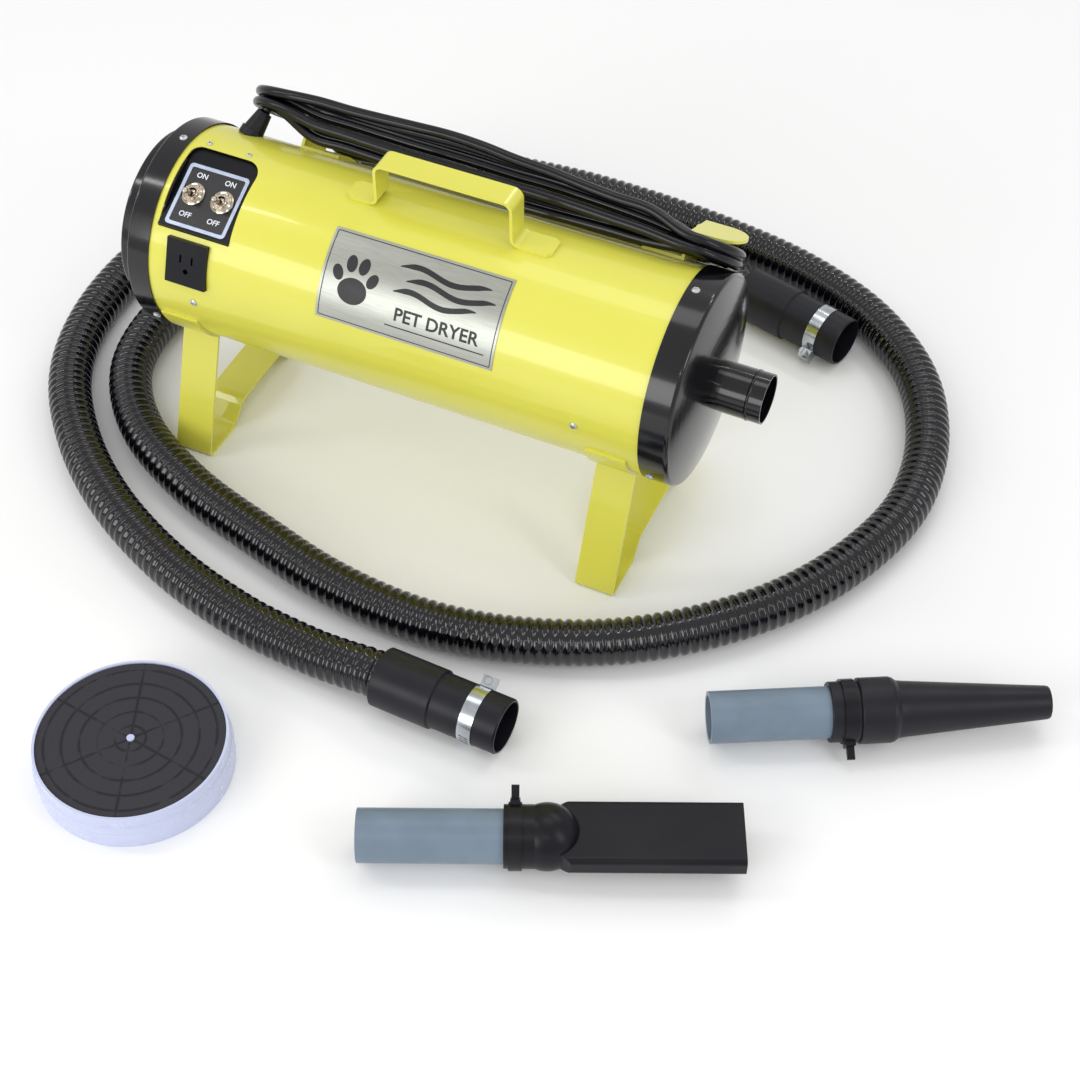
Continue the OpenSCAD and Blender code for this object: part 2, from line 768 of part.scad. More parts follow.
// A worm-drive band with its screw housing, which faces the given angle
module worm_band(ang) {
    color("silver") translate([0, 0, clamp_z]) difference() {
        union() {
            tube(cuff_small_r + 0.9, cuff_small_r, clamp_w);
            rotate([0, 0, ang]) box([cuff_small_r + 0.4, -7, 1], [cuff_small_r + 11, 7, clamp_w - 1]);
        }
        rotate([0, 0, ang]) translate([screw_out, -8, clamp_w / 2])
            rotate([-90, 0, 0]) cylinder(r = 4, h = 16);
    }
}

module worm_screw(ang) {
    color("silver") translate([0, 0, clamp_z]) rotate([0, 0, ang])
        translate([screw_out, 0, clamp_w / 2]) rotate([-90, 0, 0]) difference() {
            union() {
                translate([0, 0, -10]) cylinder(r = 3.7, h = 17);
                translate([0, 0, -15]) cylinder(r = 4.6, h = 5, $fn = 6);
            }
            box([-5, -0.7, -16], [5, 0.7, -13.4]);
        }
}

clamp_a_ang = -60;
clamp_b_ang = 125;
module cuff_a() { lying(cuff_a_at, cuff_a_turn) cuff(); }
module cuff_b() { lying(cuff_b_at, cuff_b_turn) cuff(); }
module clamp_a() { lying(cuff_a_at, cuff_a_turn) worm_band(clamp_a_ang); }
module clamp_b() { lying(cuff_b_at, cuff_b_turn) worm_band(clamp_b_ang); }
module clamp_screws() {
    lying(cuff_a_at, cuff_a_turn) worm_screw(clamp_a_ang);
    lying(cuff_b_at, cuff_b_turn) worm_screw(clamp_b_ang);
}

// ---- Mains cord -----------------------------------------------------------------------

hank_out = 52;
hank_in = 29.5;
hank_left = -187;
hank_right = right_hook_x;

module stadium(r) {
    translate([hank_left, -r]) square([hank_right - hank_left, 2 * r]);
    translate([hank_left, 0]) circle(r);
    translate([hank_right, 0]) circle(r);
}

// The wound cord's outer shape: a long ring round both hooks, higher over the strain relief
module cord_hank() {
    color(black) drum_frame() hook_frame() intersection() {
        translate([0, 0, 90]) linear_extrude(80) difference() {
            stadium(hank_out);
            stadium(hank_in);
        }
        translate([0, hank_out + 5, 0]) rotate([90, 0, 0]) linear_extrude(2 * hank_out + 10) polygon([
            [-245, 124], [-203, 124], [-178, 99], [226, 99], [240, 104.5], [290, 104.5],
            [290, 122], [240, 122], [205, 140], [168, 141], [80, 147], [-10, 154], [-142, 154.5],
            [-204, 147], [-245, 147]
        ]);
    }
}

module cord_lead() {
    color(black) drum_frame() hook_frame() swept(lead_route, cord_d / 2, 10);
}

module cord_tail() {
    color(black) drum_frame() hook_frame() swept(tail_route, cord_d / 2, 10);
}

plug_r = 14;
module cord_plug() {
    end = tail_route[len(tail_route) - 1];
    color(black) drum_frame() hook_frame() translate(end) rotate([0, -90, 0]) {
        cylinder(r1 = 6.4, r2 = 8.2, h = 18);
        translate([0, 0, 18 - eps]) cylinder(r1 = 10.5, r2 = plug_r, h = 8);
        translate([0, 0, 26 - 2 * eps]) cylinder(r = plug_r, h = 22);
    }
}

module plug_blades() {
    end = tail_route[len(tail_route) - 1];
    color("goldenrod") drum_frame() hook_frame()
        translate(end) rotate([0, -90, 0]) translate([0, 0, 48 - 2 * eps]) {
        for (s = [-1, 1]) box([3, s * blade_gap / 2 - 0.75, 0], [9.3, s * blade_gap / 2 + 0.75, 17]);
        translate([-6, 0, 0]) cylinder(r = 2.35, h = 20);
    }
}

// ---- Nozzles --------------------------------------------------------------------------

cone_at = [390, -231, 30.6];
cone_turn = 28;
flat_at = [158, -478, 30.1];
flat_turn = 24.3;
pipe_in = 20.4;

module nozzle_pipe(h) { color(grey_pipe) tube(pipe_r, pipe_in, h); }

module cone_pipe() { lying(cone_at, cone_turn) nozzle_pipe(168); }

module cone_body() {
    lying(cone_at, cone_turn) color(black) rotate_extrude() polygon([
        [pipe_r, 110], [27.6, 110], [28, 110.8], [28, 136], [30, 136.8], [30.5, 138],
        [30.5, 166], [29.6, 169], [26.6, 173], [25.8, 180], [15.6, 312], [15, 314],
        [12, 314], [22.4, 180], [22.4, 168], [pipe_r, 168]
    ]);
}

// A moulded ratchet clamp with its tab at an angle
module ratchet_clamp(z, r_in, ang, reach) {
    color(black) {
        translate([0, 0, z]) tube(r_in + 2, r_in, 12);
        rotate([0, 0, ang]) {
            box([r_in + 1, -7, z + 1.5], [r_in + 5, 9, z + 10.5]);
            box([r_in + 1, -2.5, z + 2.5], [reach, 1.5, z + 9.5]);
        }
    }
}

module cone_clamp() { lying(cone_at, cone_turn) ratchet_clamp(121, 28, -65, 45); }

module flat_pipe() { lying(flat_at, flat_turn) nozzle_pipe(176); }

flat_w = 64.8;
flat_h = 20.6;
flat_end = 338;
module flat_body() {
    wall = 2.2;
    ball_z = 166;
    lying(flat_at, flat_turn) color(black) difference() {
        union() {
            translate([0, 0, 128]) cylinder(r = 28, h = 38);
            translate([0, 0, ball_z]) sphere(30);
            intersection() {
                translate([0, 0, 172]) linear_extrude(flat_end - 172) rounded_box_2d(flat_h, flat_w, 5);
                translate([-flat_h, 0, 0]) rotate([90, 0, 90]) linear_extrude(2 * flat_h) polygon([
                    [-22, 171], [22, 171], [flat_w / 2 + 1, 188], [flat_w / 2 + 1, flat_end + 1],
                    [-flat_w / 2 - 1, flat_end + 1], [-flat_w / 2 - 1, 188]
                ]);
            }
        }
        translate([0, 0, 127]) cylinder(r = pipe_r, h = 49);
        translate([0, 0, 160]) cylinder(r = 22, h = 25);
        translate([0, 0, 190]) linear_extrude(flat_end - 189)
            rounded_box_2d(flat_h - 2 * wall, flat_w - 2 * wall, 3);
        translate([0, 0, 175]) linear_extrude(16)
            rounded_box_2d(flat_h - 2 * wall, 36, 3);
    }
}

module flat_clamp() { lying(flat_at, flat_turn) ratchet_clamp(132, 28, 132, 45); }

// ---- Filter ---------------------------------------------------------------------------

filter_at = [-73, -477];
skirt_h = 24;
foam_low = 31;
foam_r = 85.8;

module filter_frame() { drum_frame() translate([filter_at[0], filter_at[1], floor_z]) children(); }

module filter_cup() {
    socket_r = boss_r + 0.2;
    color("#c6ccdc") filter_frame() {
        rotate_extrude($fn = 144) polygon([
            [socket_r, 0], [cup_r, 0], [cup_r, 18], [cup_r + 0.7, 19.5], [cup_r, 21],
            [cup_r - 0.4, skirt_h], [89.6, 25.5], [89.9, 27.5], [88.9, 29], [88.3, cup_h],
            [foam_r + 0.2, cup_h], [foam_r + 0.2, 27], [socket_r, skirt_h - 3]
        ]);
        translate([0, 0, 28]) {
            for (r = [16, 34, 52, 70]) tube(r + 1.2, r - 1.2, 3);
            for (a = [0:60:300]) rotate([0, 0, a + 7]) box([3, -1.3, 0.3], [foam_r + 1, 1.3, 2.7]);
            cylinder(r = 5, h = 3);
            translate([0, 0, 1]) cylinder(r = 3.6, h = 11);
        }
    }
}

module filter_foam() {
    color("#3e3e42") filter_frame() translate([0, 0, foam_low]) tube(foam_r, 3.8, 7.5);
}

// ---- Drawing --------------------------------------------------------------------------

drum_shell();
left_end_cap();
intake_grille();
right_end_cap();
outlet_spout();
carry_handle();
left_leg();
right_leg();
left_cord_hook();
right_cord_hook();
label_plate();
switch_panel();
switch_faceplate();
switch_bodies();
switch_nuts();
toggle_lever_1();
toggle_lever_2();
receptacle();
receptacle_contacts();
strain_relief();
cap_screws();
drum_screws();
panel_screws();
bulkhead_1();
fan_case_1();
impeller_1();
motor_bracket_1();
stator_1();
armature_1();
bearings_1();
brush_holders_1();
bulkhead_2();
fan_case_2();
impeller_2();
motor_bracket_2();
stator_2();
armature_2();
bearings_2();
brush_holders_2();
hose();
cuff_a();
cuff_b();
clamp_a();
clamp_b();
clamp_screws();
cord_lead();
cord_hank();
cord_tail();
cord_plug();
plug_blades();
cone_pipe();
cone_body();
cone_clamp();
flat_pipe();
flat_body();
flat_clamp();
filter_cup();
filter_foam();
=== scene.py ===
import json
import math
import bpy
import bmesh
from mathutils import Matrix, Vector


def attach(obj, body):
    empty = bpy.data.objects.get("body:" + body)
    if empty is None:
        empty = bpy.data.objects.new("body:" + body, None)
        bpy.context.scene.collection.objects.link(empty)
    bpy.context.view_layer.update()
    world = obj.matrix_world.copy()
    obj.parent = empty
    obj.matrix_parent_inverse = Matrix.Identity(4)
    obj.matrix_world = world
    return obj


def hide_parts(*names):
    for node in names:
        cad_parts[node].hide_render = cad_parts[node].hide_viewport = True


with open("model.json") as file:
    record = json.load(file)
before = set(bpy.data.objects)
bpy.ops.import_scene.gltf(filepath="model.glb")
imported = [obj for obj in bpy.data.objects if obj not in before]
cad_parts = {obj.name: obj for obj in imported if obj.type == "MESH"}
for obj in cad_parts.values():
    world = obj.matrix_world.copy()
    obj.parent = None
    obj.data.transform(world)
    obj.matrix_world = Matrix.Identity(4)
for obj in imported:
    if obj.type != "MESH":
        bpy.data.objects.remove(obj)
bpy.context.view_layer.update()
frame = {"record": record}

MM = 0.001
MOUTH_X = 345.4
AXIS_H = 213.0
FLOOR_Z = -AXIS_H


def drum(x, y, z):
    """A point given about the drum's middle in millimetres, in the row frame in metres."""
    return Vector(((x - MOUTH_X) * MM, y * MM, z * MM))


def on_floor(p):
    return drum(p[0], p[1], FLOOR_Z + p[2])


def linear(hexa):
    out = []
    for i in (1, 3, 5):
        c = int(hexa[i:i + 2], 16) / 255
        out.append(c / 12.92 if c <= 0.04045 else ((c + 0.055) / 1.055) ** 2.4)
    return out


# ---- Camera ---------------------------------------------------------------------------

scene = bpy.context.scene
cam_data = bpy.data.cameras.new("camera")
cam = bpy.data.objects.new("camera", cam_data)
scene.collection.objects.link(cam)
cam.location = (0.3475, -1.2732, 1.2617)
cam.rotation_euler = (math.radians(41.5), 0, math.radians(24.8))
cam_data.lens = 65.33
cam_data.sensor_width = 36
cam_data.shift_x = 0.0081
cam_data.shift_y = 0.0094
cam_data.dof.use_dof = False
scene.camera = cam
scene.view_settings.view_transform = "Standard"


# ---- Materials ------------------------------------------------------------------------

SMOOTHEST = 0.02
COAT_ROUGH = 0.06


class Shader:
    """A Principled material with its own procedural wear, grain and relief."""

    def __init__(self, name, colour, rough, metal=0.0, coat=0.0, spec=0.5):
        self.mat = bpy.data.materials.new(name)
        self.mat.use_nodes = True
        self.nodes = self.mat.node_tree.nodes
        self.links = self.mat.node_tree.links
        self.bsdf = self.nodes["Principled BSDF"]
        self.colour = linear(colour)
        self.set("Base Color", (*self.colour, 1))
        self.set("Roughness", rough)
        self.set("Metallic", metal)
        self.set("Coat Weight", coat)
        self.set("Coat Roughness", COAT_ROUGH)
        self.set("Specular IOR Level", spec)
        self.rough = rough
        self.coord = self.nodes.new("ShaderNodeTexCoord").outputs["Object"]
        self.height = None

    def set(self, socket, value):
        self.bsdf.inputs[socket].default_value = value

    def join(self, a, b):
        self.links.new(a, b)

    def noise(self, scale, detail=4.0, stretch=None):
        n = self.nodes.new("ShaderNodeTexNoise")
        n.inputs["Scale"].default_value = scale
        n.inputs["Detail"].default_value = detail
        source = self.coord
        if stretch:
            m = self.nodes.new("ShaderNodeMapping")
            m.inputs["Scale"].default_value = stretch
            self.join(source, m.inputs["Vector"])
            source = m.outputs["Vector"]
        self.join(source, n.inputs["Vector"])
        return n.outputs["Fac"]

    def ranged(self, fac, low, high):
        r = self.nodes.new("ShaderNodeMapRange")
        r.inputs["To Min"].default_value = low
        r.inputs["To Max"].default_value = high
        self.join(fac, r.inputs["Value"])
        return r.outputs["Result"]

    def vary_rough(self, scale, spread, detail=4.0, stretch=None):
        fac = self.noise(scale, detail, stretch)
        low = max(SMOOTHEST, self.rough - spread)
        self.join(self.ranged(fac, low, self.rough + spread), self.bsdf.inputs["Roughness"])
        return self

    def vary_colour(self, scale, other, detail=5.0, stretch=None, low=0.4, high=0.7):
        mix = self.nodes.new("ShaderNodeMix")
        mix.data_type = "RGBA"
        mix.inputs["A"].default_value = (*self.colour, 1)
        mix.inputs["B"].default_value = (*linear(other), 1)
        r = self.nodes.new("ShaderNodeMapRange")
        r.inputs["From Min"].default_value = low
        r.inputs["From Max"].default_value = high
        self.join(self.noise(scale, detail, stretch), r.inputs["Value"])
        self.join(r.outputs["Result"], mix.inputs["Factor"])
        self.join(mix.outputs["Result"], self.bsdf.inputs["Base Color"])
        return self

    def bump(self, fac, strength, distance=0.0004):
        b = self.nodes.new("ShaderNodeBump")
        b.inputs["Strength"].default_value = strength
        b.inputs["Distance"].default_value = distance
        self.join(fac, b.inputs["Height"])
        if self.height is not None:
            self.join(self.height, b.inputs["Normal"])
        self.height = b.outputs["Normal"]
        self.join(self.height, self.bsdf.inputs["Normal"])
        return self

    def bump_noise(self, scale, strength, distance=0.0004, detail=3.0, stretch=None):
        return self.bump(self.noise(scale, detail, stretch), strength, distance)


yellow = Shader("yellow_enamel", "#dfdb55", 0.3, coat=0.45)
yellow.vary_rough(9, 0.06).vary_colour(6, "#dad64c").bump_noise(420, 0.05, 0.0003)
enamel = Shader("black_enamel", "#08080c", 0.16, coat=0.25, spec=0.4)
enamel.vary_rough(14, 0.05).vary_colour(9, "#101015").bump_noise(380, 0.05, 0.0003)
label = Shader("brushed_label", "#aeb0a8", 0.36, metal=0.75)
label.vary_rough(60, 0.08, stretch=(1, 40, 40)).vary_colour(50, "#9fa199", stretch=(1, 30, 30))
label.bump_noise(160, 0.12, 0.0001, stretch=(1, 30, 30))
plastic = Shader("black_plastic", "#0b0c14", 0.34, spec=0.25)
plastic.vary_rough(30, 0.06).vary_colour(20, "#15151a").bump_noise(900, 0.12, 0.0002)
panel = Shader("panel_print", "#0c0c10", 0.28, coat=0.3)
panel.vary_rough(40, 0.05).vary_colour(25, "#111118").bump_noise(500, 0.05, 0.0001)
border = Shader("panel_border", "#b9c3d6", 0.3, metal=0.6)
border.vary_rough(80, 0.06).vary_colour(60, "#a9b4c9").bump_noise(300, 0.05, 0.0001)
nickel = Shader("nickel", "#cfc6b8", 0.16, metal=1.0)
nickel.vary_rough(70, 0.05).vary_colour(40, "#bdb19f").bump_noise(250, 0.06, 0.0001)
zinc = Shader("zinc_steel", "#d2d5d8", 0.28, metal=0.6)
zinc.vary_rough(120, 0.08).vary_colour(80, "#bfc1bd").bump_noise(600, 0.15, 0.0001)
brass = Shader("brass", "#c9a24a", 0.3, metal=1.0)
brass.vary_rough(90, 0.07).vary_colour(60, "#b08a38").bump_noise(500, 0.1, 0.0001)
rubber = Shader("black_rubber", "#0e0f19", 0.42, spec=0.32)
rubber.vary_rough(40, 0.08).vary_colour(30, "#16161c").bump_noise(700, 0.2, 0.0002)
sheet = Shader("galvanised", "#a9adb2", 0.4, metal=0.9)
sheet.vary_rough(30, 0.1).vary_colour(22, "#8f949a").bump_noise(300, 0.08, 0.0001)
alu = Shader("aluminium", "#c9ccd0", 0.34, metal=0.95)
alu.vary_rough(60, 0.08).vary_colour(45, "#b4b8bd").bump_noise(400, 0.1, 0.0001)
iron = Shader("motor_steel", "#7b7e82", 0.42, metal=0.9)
iron.vary_rough(70, 0.1).vary_colour(50, "#5e5a55").bump_noise(500, 0.15, 0.0001)
vinyl = Shader("hose_vinyl", "#05050a", 0.08, coat=0.4, spec=0.4)
vinyl.vary_rough(35, 0.06).vary_colour(20, "#0b0b12").bump_noise(260, 0.12, 0.0003)
stainless = Shader("stainless", "#c6cace", 0.2, metal=1.0)
stainless.vary_rough(90, 0.07).vary_colour(60, "#a6abb1").bump_noise(500, 0.08, 0.0001)
cordage = Shader("cord_jacket", "#07070c", 0.24, coat=0.08, spec=0.36)
cordage.vary_rough(50, 0.07).vary_colour(30, "#0e0e14").bump_noise(420, 0.18, 0.0002)
pvc = Shader("grey_pvc", "#758595", 0.36, spec=0.35)
pvc.vary_rough(50, 0.08, stretch=(1, 1, 1)).vary_colour(25, "#6d7d8c").bump_noise(350, 0.08, 0.0002)
cup = Shader("filter_plastic", "#c6cce6", 0.26)
cup.set("Subsurface Weight", 0.35)
cup.set("Subsurface Radius", (0.004, 0.004, 0.005))
cup.vary_rough(60, 0.06).vary_colour(12, "#bcc4e2").bump_noise(60, 0.04, 0.0002)
foam = Shader("filter_foam", "#3b3b3f", 0.92, spec=0.15)
# Painted shade: the clamp slots are flat, darker copies of the band's metal, standing in for the shade
# inside the slots
slot_painted_shade = Shader("slot_painted_shade", "#53565a", 0.45, metal=0.7)
slot_painted_shade.vary_rough(90, 0.1).vary_colour(60, "#43464a").bump_noise(500, 0.1, 0.0001)
print_white = Shader("print_white", "#e9edf4", 0.4)
print_white.vary_rough(90, 0.06).vary_colour(70, "#dde2ec").bump_noise(500, 0.04, 0.0001)
print_black = Shader("print_black", "#17171a", 0.45)
print_black.vary_rough(90, 0.06).vary_colour(70, "#202024").bump_noise(500, 0.04, 0.0001)

# Foam: an open cell grain, with rings and spokes where the cup's grid shows through it, and painted shade
# darkening the foam down in those grooves
FILTER_AT = on_floor((-73, -477, 0))
RING_GAP = 0.016
RING_START = 0.002
SPOKES = 6
SPOKE_TURN = 0.12
GROOVE_EDGES = (0.0002, 0.0022)
GROOVE_DEPTH = 0.0012
PATCH_DEPTH = 0.009
CELL_SCALE = 620


def maths(sh, op, a, b=0.0):
    node = sh.nodes.new("ShaderNodeMath")
    node.operation = op
    for socket, value in zip(node.inputs, (a, b)):
        if isinstance(value, (int, float)):
            socket.default_value = value
        else:
            sh.join(value, socket)
    return node.outputs[0]


cells = foam.nodes.new("ShaderNodeTexVoronoi")
cells.inputs["Scale"].default_value = CELL_SCALE
foam.join(foam.coord, cells.inputs["Vector"])
split = foam.nodes.new("ShaderNodeSeparateXYZ")
foam.join(foam.coord, split.inputs[0])
off_x = maths(foam, "SUBTRACT", split.outputs[0], FILTER_AT.x)
off_y = maths(foam, "SUBTRACT", split.outputs[1], FILTER_AT.y)
square_x = maths(foam, "MULTIPLY", off_x, off_x)
square_y = maths(foam, "MULTIPLY", off_y, off_y)
dist = maths(foam, "SQRT", maths(foam, "ADD", square_x, square_y))
ring = maths(foam, "PINGPONG", maths(foam, "ADD", dist, RING_START), RING_GAP / 2)
turn_by = maths(foam, "ADD", maths(foam, "ARCTAN2", off_y, off_x), SPOKE_TURN + math.pi)
spoke = maths(foam, "MULTIPLY", maths(foam, "PINGPONG", turn_by, math.pi / SPOKES), dist)
groove = foam.nodes.new("ShaderNodeMapRange")
groove.interpolation_type = "SMOOTHSTEP"
groove.inputs["From Min"].default_value = GROOVE_EDGES[0]
groove.inputs["From Max"].default_value = GROOVE_EDGES[1]
over_half = maths(foam, "MAXIMUM", maths(foam, "SUBTRACT", foam.noise(55, 2.0), 0.5), 0.0)
patchy = maths(foam, "MULTIPLY", over_half, PATCH_DEPTH)
foam.join(maths(foam, "ADD", maths(foam, "MINIMUM", ring, spoke), patchy), groove.inputs["Value"])
foam.bump(groove.outputs["Result"], 0.45, GROOVE_DEPTH)
foam.bump(cells.outputs["Distance"], 0.55, 0.0006)
# Painted shade: the foam is coloured darker down in its ring and spoke grooves, where shade falls
painted_groove_shade = foam.nodes.new("ShaderNodeMix")
painted_groove_shade.data_type = "RGBA"
painted_groove_shade.inputs["A"].default_value = (*linear("#2c2c30"), 1)
painted_groove_shade.inputs["B"].default_value = (*linear("#3b3b40"), 1)
foam.join(groove.outputs["Result"], painted_groove_shade.inputs["Factor"])
foam.join(painted_groove_shade.outputs["Result"], foam.bsdf.inputs["Base Color"])
foam.vary_rough(200, 0.06)

SLOT_SHADERS = {
    "yellow_enamel": yellow, "black_enamel": enamel, "brushed_label": label, "black_plastic": plastic,
    "panel_print": panel, "nickel": nickel, "zinc_steel": zinc, "brass": brass, "black_rubber": rubber,
    "galvanised": sheet, "aluminium": alu, "motor_steel": iron, "hose_vinyl": vinyl,
    "stainless": stainless, "cord_jacket": cordage, "grey_pvc": pvc, "filter_plastic": cup,
    "filter_foam": foam,
}
slot_of = {s["node"]: s["material_slot"] for s in frame["record"]["subparts"]}
for node, slot in slot_of.items():
    obj = bpy.data.objects[node]
    obj.data.materials.clear()
    obj.data.materials.append(SLOT_SHADERS[slot].mat)


# ---- Meshes ---------------------------------------------------------------------------

def piece(name, verts, faces, shader, body, smooth=True):
    mesh = bpy.data.meshes.new(name)
    mesh.from_pydata([tuple(v) for v in verts], [], faces)
    mesh.validate()
    mesh.materials.append(shader.mat)
    mesh.polygons.foreach_set("use_smooth", [smooth] * len(mesh.polygons))
    mesh.update()
    obj = bpy.data.objects.new(name, mesh)
    scene.collection.objects.link(obj)
    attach(obj, body)
    return obj


def curve_points(route, step):
    """Points a step apart on a smooth curve through the route."""
    dense = []
    n = len(route) - 1
    for i in range(n):
        p0, p1 = route[max(i - 1, 0)], route[i]
        p2, p3 = route[i + 1], route[min(i + 2, n)]
        for k in range(24):
            u = k / 24
            dense.append(0.5 * (2 * p1 + (p2 - p0) * u + (2 * p0 - 5 * p1 + 4 * p2 - p3) * u * u
                                + (3 * p1 - p0 - 3 * p2 + p3) * u ** 3))
    dense.append(route[-1])
    lengths = [0.0]
    for a, b in zip(dense, dense[1:]):
        lengths.append(lengths[-1] + (b - a).length)
    count = max(2, round(lengths[-1] / step))
    out, j = [], 0
    for i in range(count + 1):
        want = lengths[-1] * i / count
        while j < len(lengths) - 2 and lengths[j + 1] < want:
            j += 1
        t = (want - lengths[j]) / max(lengths[j + 1] - lengths[j], 1e-12)
        out.append(dense[j].lerp(dense[j + 1], min(max(t, 0), 1)))
    return out, lengths[-1]


def sweep(points, radius, sides):
    """Rings square to the path; radius(i) is the radius of ring i. Closed by end caps."""
    verts, faces = [], []
    n = len(points)
    side = None
    for i, p in enumerate(points):
        t = (points[min(i + 1, n - 1)] - points[max(i - 1, 0)]).normalized()
        if side is None:
            side = t.cross(Vector((0, 0, 1)))
            if side.length < 0.1:
                side = t.cross(Vector((1, 0, 0)))
        side = (side - t * side.dot(t)).normalized()
        up = side.cross(t)
        r = radius(i)
        for k in range(sides):
            a = 2 * math.pi * k / sides
            verts.append(p + (side * math.cos(a) + up * math.sin(a)) * r)
    for i in range(n - 1):
        for k in range(sides):
            k2 = (k + 1) % sides
            faces.append((i * sides + k, i * sides + k2, (i + 1) * sides + k2, (i + 1) * sides + k))
    faces.append(tuple(range(sides - 1, -1, -1)))
    faces.append(tuple((n - 1) * sides + k for k in range(sides)))
    return verts, faces


# ---- Hose -----------------------------------------------------------------------------

HOSE_Z = 23.2
HOSE_R = 22.9
HOSE_SIDES = 28
RIB_DEPTH = 2.5
RIB_PITCH = 9.8
RINGS_A_RIB = 6
hose_route = [
    (214, 338, 29.2), (195, 343, 28.6), (165, 350, 25.5), (110, 356, HOSE_Z), (40, 356, HOSE_Z),
    (-50, 343, HOSE_Z), (-140, 309, HOSE_Z), (-220, 258, HOSE_Z), (-290, 192, HOSE_Z),
    (-338, 115, HOSE_Z), (-360, 38, HOSE_Z), (-346, -50, HOSE_Z), (-288, -122, HOSE_Z),
    (-198, -172, HOSE_Z), (-100, -203, HOSE_Z), (-5, -227, HOSE_Z), (90, -234, HOSE_Z),
    (180, -219, HOSE_Z), (270, -182, HOSE_Z), (345, -127, HOSE_Z), (408, -57, HOSE_Z),
    (452, 25, HOSE_Z), (474, 112, HOSE_Z), (464, 205, HOSE_Z), (424, 292, HOSE_Z),
    (352, 360, HOSE_Z), (262, 402, HOSE_Z), (165, 423, HOSE_Z), (60, 433, HOSE_Z),
    (-50, 433, HOSE_Z), (-160, 416, HOSE_Z), (-262, 376, HOSE_Z), (-348, 308, HOSE_Z),
    (-406, 218, HOSE_Z), (-433, 115, HOSE_Z), (-432, 10, HOSE_Z), (-401, -85, HOSE_Z),
    (-337, -165, HOSE_Z), (-255, -228, HOSE_Z), (-160, -274, HOSE_Z), (-65, -301, HOSE_Z),
    (10, -310, HOSE_Z), (50, -312, 25.5), (78, -312.5, 28.6), (96, -313, 29.2),
]
hose_path, hose_len = curve_points([on_floor(p) for p in hose_route], RIB_PITCH * MM / RINGS_A_RIB)


RIB_PROFILE = (1.0, 0.93, 0.45, 0.0, 0.45, 0.93)


def hose_radius(i):
    """The ribs: six rings to each."""
    return (HOSE_R - RIB_DEPTH * (1 - RIB_PROFILE[i % RINGS_A_RIB])) * MM


hose_verts, hose_faces = sweep(hose_path, hose_radius, HOSE_SIDES)
hose = piece("hose_ribbed", hose_verts, hose_faces, vinyl, "dryer")
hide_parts("hose")
print("hose length", round(hose_len, 4))


# ---- Mains cord -----------------------------------------------------------------------

CORD_R = 5.2
CORD_SIDES = 20
CORD_STEP = 0.004
LEAD_ENDS_X = -110
EASE_OVER = 60
RUN_STEPS = 12
ARC_STEPS = 6
HALF_TURN = math.sqrt(0.5)
HOOK_LEFT, HOOK_RIGHT = -187.0, 232.0


def hook(x, y, z):
    """A point in the cord hooks' frame: Y round the drum, Z out from its axis."""
    return drum(x, HALF_TURN * (y + z), HALF_TURN * (z - y))


def smooth(t):
    t = min(max(t, 0.0), 1.0)
    return t * t * (3 - 2 * t)


# radius of each turn, and its height at each of these places along the hooks
stops = (-205, -145, -10, 80, 168, 205, 242)
turns = [
    (25.2, (140.6, 138, 139, 135, 131, 128, 118.8)),
    (25.2, (129.4, 116, 113, 111, 110, 110, 109.4)),
    (35.6, (140.8, 132, 132, 129, 126, 124, 118.5)),
    (46.2, (141.6, 145, 146.5, 141, 135.5, 133, 119.0)),
    (35.8, (129.4, 110, 106.5, 105, 105, 105, 109.0)),
    (46.0, (130.6, 121.5, 119.5, 117, 115, 114, 109.6)),
]


def height(turn, x):
    """How far out a turn lies at x."""
    levels = turn[1]
    for i in range(len(stops) - 1):
        if x < stops[i + 1]:
            t = smooth((x - stops[i]) / (stops[i + 1] - stops[i]))
            return levels[i] + (levels[i + 1] - levels[i]) * t
    return levels[-1]


def wobble(k, x):
    """How far turn k wanders sideways and outwards at x."""
    return 1.3 * math.sin(x / 61.0 + 1.7 * k), 1.1 * math.sin(x / 47.0 + 2.3 * k + 0.6)


cord_route = [hook(*p) for p in [
    (-215.5, -24.8, 122), (-213.5, -24.6, 128.5), (-208, -24.2, 136.5), (-199, -23.8, 142),
    (-188, -24, 144), (-174, -27, 143), (-160, -31, 140.5), (-148, -34.5, 138),
]]
for k, turn in enumerate(turns):
    after = turns[min(k + 1, len(turns) - 1)]
    r = turn[0]
    for i in range(RUN_STEPS):
        x = HOOK_LEFT + (HOOK_RIGHT - HOOK_LEFT) * i / RUN_STEPS
        if k == 0 and x < LEAD_ENDS_X:
            continue
        dy, dz = wobble(k, x)
        ease = min(1.0, (x - HOOK_LEFT) / EASE_OVER, (HOOK_RIGHT - x) / EASE_OVER)
        cord_route.append(hook(x, -r + dy * ease * 0.4, height(turn, x) + dz * ease))
    for i in range(ARC_STEPS + 1):
        a = math.radians(-90 + 180 * i / ARC_STEPS)
        x = HOOK_RIGHT + r * math.cos(a)
        cord_route.append(hook(x, r * math.sin(a), height(turn, x)))
    if k == len(turns) - 1:
        break
    for i in range(1, RUN_STEPS):
        x = HOOK_RIGHT - (HOOK_RIGHT - HOOK_LEFT) * i / RUN_STEPS
        s = smooth(i / RUN_STEPS)
        ra = r + (after[0] - r) * s
        cord_route.append(hook(x, ra, height(turn, x) * (1 - s) + height(after, x) * s))
    for i in range(ARC_STEPS + 1):
        a = math.radians(90 + 180 * i / ARC_STEPS)
        x = HOOK_LEFT + after[0] * math.cos(a)
        cord_route.append(hook(x, after[0] * math.sin(a), height(after, x)))
    cord_route.pop()
